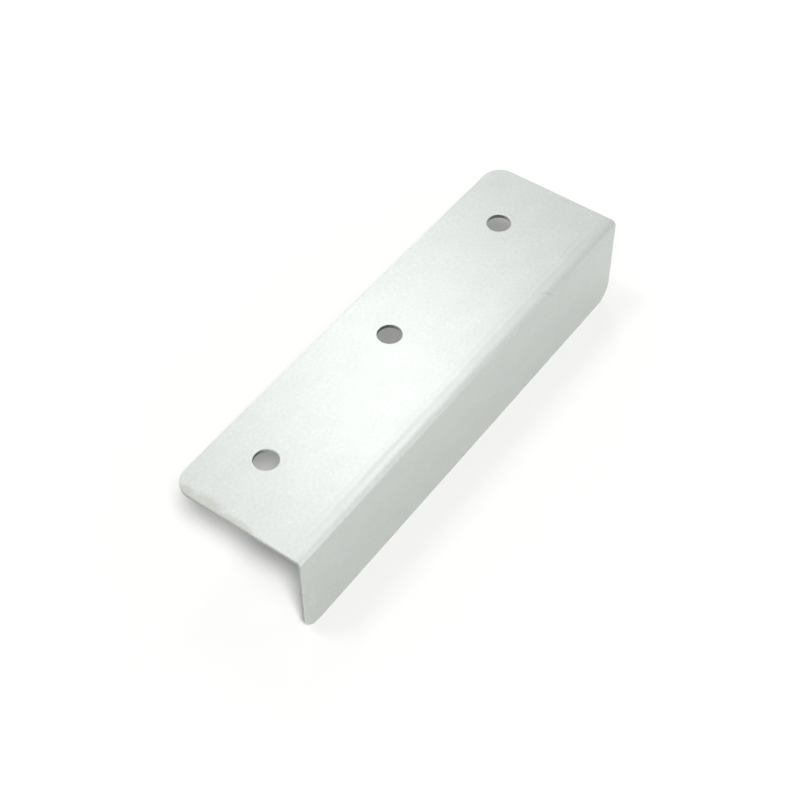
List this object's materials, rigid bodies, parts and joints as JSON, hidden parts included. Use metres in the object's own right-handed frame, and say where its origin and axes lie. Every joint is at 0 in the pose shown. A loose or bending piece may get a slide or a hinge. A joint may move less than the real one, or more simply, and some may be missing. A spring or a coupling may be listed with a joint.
{
  "type": "reservoir bracket",
  "caption": "Right-angle bracket folded from one strip of aluminium sheet, with rounded corners and a line of bolt holes along its wide flange.",
  "frame": {"origin": "centre of the middle bolt hole, on the wide flange's outer face", "axes": "+X along the fold, +Y from the fold to the wide flange's free edge, +Z out of the wide flange's outer face; the narrow flange hangs towards -Z"},
  "size_m": [0.138, 0.0395, 0.0285],
  "materials": {
    "aluminium_sheet": "mill"
  },
  "bodies": {
    "root": {"bracket": "aluminium_sheet"}
  },
  "joints": []
}
